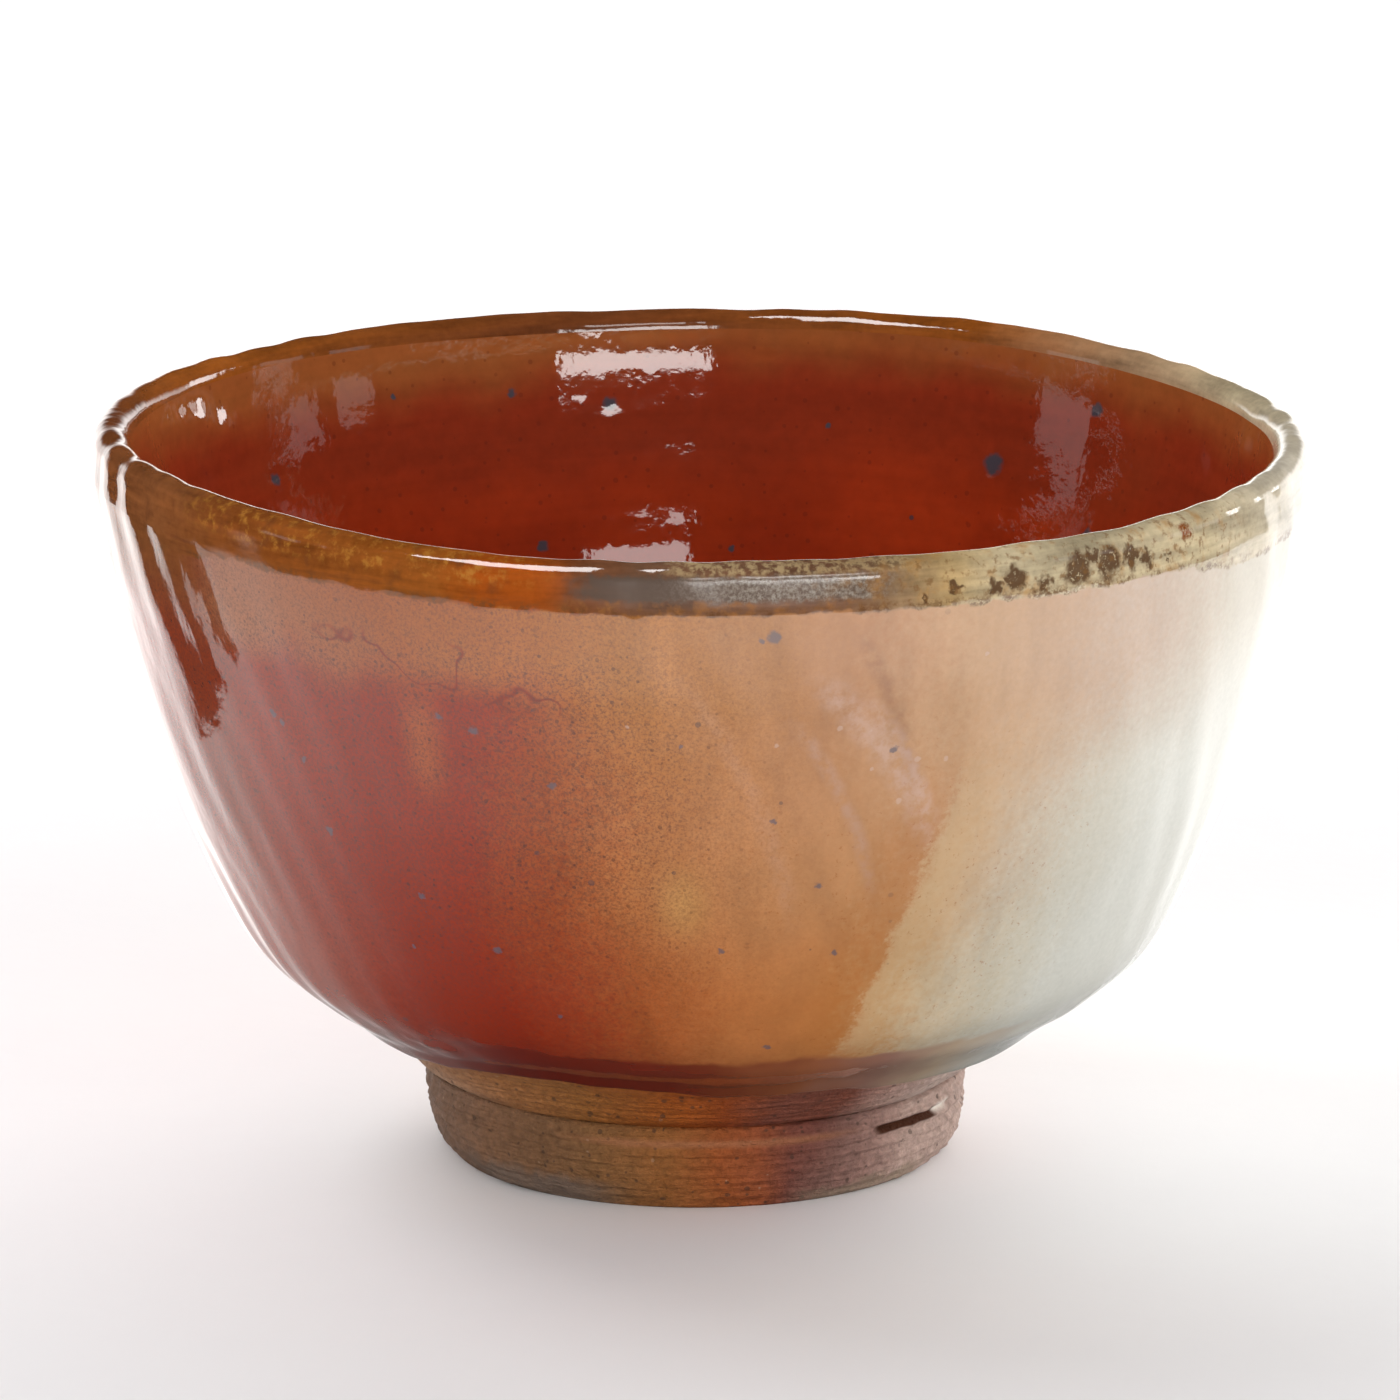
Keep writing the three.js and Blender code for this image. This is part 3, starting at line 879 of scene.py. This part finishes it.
def clay_paint(surface, colours):
    """Flashed clay with dark and pale grit."""
    s = surface
    paint = s.bands(s.angle + s.noise(9, 2) * 4, colours)
    grit = s.noise(0.8, 4, 0.7)
    paint = s.tint(paint, 1.2 + grit * 0.42)
    paint = s.mix(paint, (0.045, 0.028, 0.020), s.specks(0.9, 0.3, 0.1, 0.28) * 0.6)
    return s.mix(paint, (0.42, 0.30, 0.20), s.specks(0.8, 0.04, 0.08, 0.2) * 0.4)


def clay_normal(surface):
    """Sandy clay with the fine lines of its trimming."""
    s = surface
    sand = s.noise(0.8, 4, 0.65) + s.noise(0.3, 2) * 0.4
    turned_lines = s.noise(0.45, 2, 0.5, s.drawn_round(0.06)) * 0.9
    return s.bumped(sand + turned_lines, 0.11)


def bare_clay_material():
    """The flashed clay of the cone: ochre, rust and purple-brown."""
    s = Surface("bare_clay")
    paint = clay_paint(s, BARE_CONE)
    return s.finish(paint, 0.72, clay_normal(s), IOR=CLAY_IOR)


def foot_clay_material():
    """The foot's clay: grey ash on the left, orange flashing in front, purple-brown on the right, with
    a painted highlight along the ridge, painted shade in the torn slot and a painted glint at its end.
    """
    s = Surface("foot_clay")
    paint = clay_paint(s, FOOT_SIDES)
    low = s.height + s.noise(2.5, 3) * 0.7
    ash = low.step(3.6, 1.6) * s.angle.within(-152, -112, 8)
    paint = s.mix(paint, (0.155, 0.115, 0.09), ash * 0.8)
    worn = low.step(2.0, 0.8) * s.angle.within(-66, -30, 8)
    paint = s.mix(paint, (0.24, 0.19, 0.13), worn * 0.6)
    # A lighter orange line along the ridge above the groove: a painted highlight.
    painted_ridge_highlight = s.height.near(7.2, 0.7) * s.angle.within(-115, -60, 10)
    paint = s.mix(paint, (0.36, 0.15, 0.07), painted_ridge_highlight * 0.6)
    # Painted shade inside the torn slot.
    slot = s.height.near(6.6, 0.75).step(0.1, 0.5) * s.angle.within(-49, -29, 1.5)
    paint = s.mix(paint, (0.065, 0.020, 0.008), slot)
    # A painted glint at the slot's right end.
    painted_slot_glint = s.height.near(6.9, 0.8) * s.angle.within(-29, -24, 1)
    paint = s.mix(paint, (0.80, 0.76, 0.68), painted_slot_glint)
    return s.finish(paint, 0.75, clay_normal(s), IOR=CLAY_IOR)


# ---- the stage: floor, reflected surroundings, lights and camera ----

CARD_DISTANCE = 1.5                # metres from the bowl to the lit cards
NEAR_CARD_DISTANCE = 1.3
AIM_HEIGHT = 0.06                  # the cards and the lamp are placed round this level
WHITE = (1, 1, 1)
WARM_WHITE = (1, 0.99, 0.97)
PINK_WHITE = (1, 0.95, 0.95)
CAMERA_PLACE = (-0.0002, -1.0617, 0.3093)
CAMERA_TILT = 13.97                # degrees down from level
CAMERA_LENS = 284


def stage_mesh(name, points, faces, material):
    mesh = bpy.data.meshes.new(name)
    mesh.from_pydata(points, [], faces)
    mesh.materials.append(material)
    thing = bpy.data.objects.new(name, mesh)
    bpy.context.scene.collection.objects.link(thing)
    return thing


def flat_rectangle(name, sides, depths, height, material):
    (left, right), (front, back) = sides, depths
    corners = [(left, front, height), (right, front, height), (right, back, height),
               (left, back, height)]
    return stage_mesh(name, corners, [(0, 1, 2, 3)], material)


def seen_only_in_gloss(thing):
    thing.visible_camera = False
    thing.visible_diffuse = False
    thing.visible_shadow = False
    thing.visible_transmission = False


def glowing(name, colour, strength):
    """A lit material. Strength is a number, or a function that works it out from the surface."""
    s = Surface(name)
    s.material.cycles.emission_sampling = "NONE"
    shader = s.tree.nodes.new("ShaderNodeEmission")
    shader.inputs[0].default_value = (*colour, 1)
    if callable(strength):
        s.tree.links.new(strength(s).socket, shader.inputs[1])
    else:
        shader.inputs[1].default_value = strength
    output = s.tree.nodes.new("ShaderNodeOutputMaterial")
    s.tree.links.new(shader.outputs[0], output.inputs[0])
    return s.material


def towards(azimuth, elevation, distance):
    """A place in this direction from the bowl: azimuth 0 is towards -Y, and grows towards +X."""
    a, e = math.radians(azimuth), math.radians(elevation)
    return (math.sin(a) * math.cos(e) * distance, -math.cos(a) * math.cos(e) * distance,
            math.sin(e) * distance + AIM_HEIGHT)


def glow_card(name, azimuths, elevations, distance, colour, strength):
    """A lit patch of a sphere round the bowl, seen only in reflections."""
    steps = 12
    (left, right), (low, high) = azimuths, elevations
    points = [towards(left + (right - left) * i / steps, low + (high - low) * j / steps, distance)
              for i in range(steps + 1) for j in range(steps + 1)]
    column_size = steps + 1
    corners = [i * column_size + j for i in range(steps) for j in range(steps)]
    faces = [(k, k + column_size, k + column_size + 1, k + 1) for k in corners]
    seen_only_in_gloss(stage_mesh(name, points, faces, glowing(name, colour, strength)))


def table_glow(surface):
    """How bright the table looks in the glaze: dim in the shadow before the bowl, bright beyond it
    and a little brighter towards the right."""
    x, y, _ = split(surface.tree, surface.point)
    across, forward = x - 5, y + 35    # from the middle of the shadow
    reach = add_node(surface.tree, "ShaderNodeMath", across * across + forward * forward,
                     operation="SQRT")
    glow = (reach.step(22, 155) * 1.75 + 0.02) * (x.step(-260, 160) * 0.5 + 0.68)

    # A dark wedge of the table, which the left side of the wall mirrors as a brown streak.
    past_front = y + x * 0.42 + 46
    past_back = y + x * 0.84 + 67
    past_far_back = y + x * 1.65 + 217
    past_right = x - y * 0.38 + 137
    wedge = past_front.step(-2, 2) * past_right.step(2, -2)
    wedge = wedge * past_back.step(6, -6).most(past_far_back.step(8, -8))
    glow = glow * (past_back.step(-10, 70) * x.step(0, -120) * 0.9 + 1)
    return glow * (1 - wedge)


def backdrop_glow(surface):
    """A white wall behind the bowl that fades out on the left."""
    x, _, z = split(surface.tree, surface.point)
    return x.step(-860, -680) * z.step(330, 150) * 2.0


def grey_glow(surface):
    """A dim patch low on the left, with soft edges."""
    _, y, z = split(surface.tree, surface.point)
    return y.near(80, 240) * z.near(-250, 190) * 1.6


def make_stage():
    floor = flat_rectangle("floor", (-2.5, 2.5), (-2.5, 2.5), 0, floor_material())
    floor.visible_glossy = False
    table = flat_rectangle("table_reflection", (-0.35, 0.35), (-0.29, 0.60), -0.0005,
                           glowing("table_reflection", (1, 0.985, 0.97), table_glow))
    seen_only_in_gloss(table)
    cards = [
        ("backdrop", (132, 222), (-20, 14), NEAR_CARD_DISTANCE, (1, 0.99, 0.98), backdrop_glow),
        ("side_window", (119, 131), (2.5, 14), CARD_DISTANCE, WHITE, 6),
        ("left_wall", (-88, -74), (4, 12), CARD_DISTANCE, PINK_WHITE, 0.9),
        ("right_wall", (72, 82), (0, 9), CARD_DISTANCE, PINK_WHITE, 0.9),
        ("far_right_wall", (88, 106), (-1, 9), CARD_DISTANCE, PINK_WHITE, 0.8),
        ("window_low", (0, 31), (4.8, 12.6), CARD_DISTANCE, WARM_WHITE, 9),
        ("window_high", (3, 29), (22.6, 31), CARD_DISTANCE, WARM_WHITE, 5),
        ("softbox", (-66, -30), (45, 75), CARD_DISTANCE, WHITE, 12),
        ("grey_card", (-108, -80), (-25, -3), NEAR_CARD_DISTANCE, (1, 0.95, 0.9), grey_glow),
    ]
    for card in cards:
        glow_card(*card)


def floor_material():
    """A pale matt table top with faint wear."""
    s = Surface("floor")
    worn = s.noise(60, 4, 0.6).step(-1, 1)
    paint = s.mix((0.885, 0.88, 0.89), (0.905, 0.905, 0.91), worn)
    return s.finish(paint, 0.9, s.bumped(s.noise(3, 3), 0.01), IOR=1.2)


def area_light(name, place, aim, size, power, colour):
    light = bpy.data.lights.new(name, "AREA")
    light.shape = "DISK"
    light.size = size
    light.energy = power
    light.color = colour
    lamp = bpy.data.objects.new(name, light)
    bpy.context.scene.collection.objects.link(lamp)
    lamp.location = place
    lamp.rotation_euler = (Vector(aim) - Vector(place)).to_track_quat("-Z", "Y").to_euler()
    lamp.visible_glossy = False
    lamp.visible_camera = False


def make_light():
    """Diffuse light as in a white corner: strongest from low behind, weaker from the front and
    right, weakest from the left and above, with one soft lamp high on the left."""
    world = bpy.data.worlds.new("studio")
    world.use_nodes = True
    tree = world.node_tree
    background = tree.nodes["Background"]
    x, y, z = split(tree, add_node(tree, "ShaderNodeTexCoord"))
    from_right = x * 0.4
    from_front = y.step(-0.2, -0.9) * 0.9
    from_behind = y.step(0.30, 0.95) * 4.3
    not_from_above = z.step(0.85, 0.35)
    strength = (from_right + from_front + from_behind + 1.3) * not_from_above * 1.08
    tree.links.new(strength.socket, background.inputs[1])
    background.inputs[0].default_value = (1, 0.985, 0.985, 1)
    world.cycles_visibility.glossy = False
    bpy.context.scene.world = world
    area_light("lamp", towards(-120, 50, 1.3), (0, 0, 0.03), 0.55, 3.6, WHITE)


def make_camera():
    camera_data = bpy.data.cameras.new("camera")
    camera_data.sensor_width = 36
    camera_data.lens = CAMERA_LENS
    camera_data.clip_start = 0.05
    camera_data.clip_end = 20
    camera = bpy.data.objects.new("camera", camera_data)
    camera.location = CAMERA_PLACE
    camera.rotation_euler = (math.radians(90 - CAMERA_TILT), 0, 0)
    bpy.context.scene.collection.objects.link(camera)
    bpy.context.scene.camera = camera


# ---- the bowl ----

def make_bowl():
    pieces = [
        (clay_body(), "thrown_body", "bare_clay", bare_clay_material()),
        (foot(), "foot_ring", "foot_clay", foot_clay_material()),
        (wall_glaze(), "outer_glaze", "wall_glaze", wall_glaze_material()),
        (lip_glaze(), "rim_glaze", "lip_glaze", lip_glaze_material()),
        (inside_glaze(), "liner_glaze", "liner_glaze", liner_glaze_material()),
    ]
    for piece, node, slot, material in pieces:
        piece.data.materials.append(material)
        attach(piece, "root")
        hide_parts(node)


make_camera()
make_light()
make_stage()
make_bowl()
bpy.context.scene.view_settings.view_transform = "Standard"
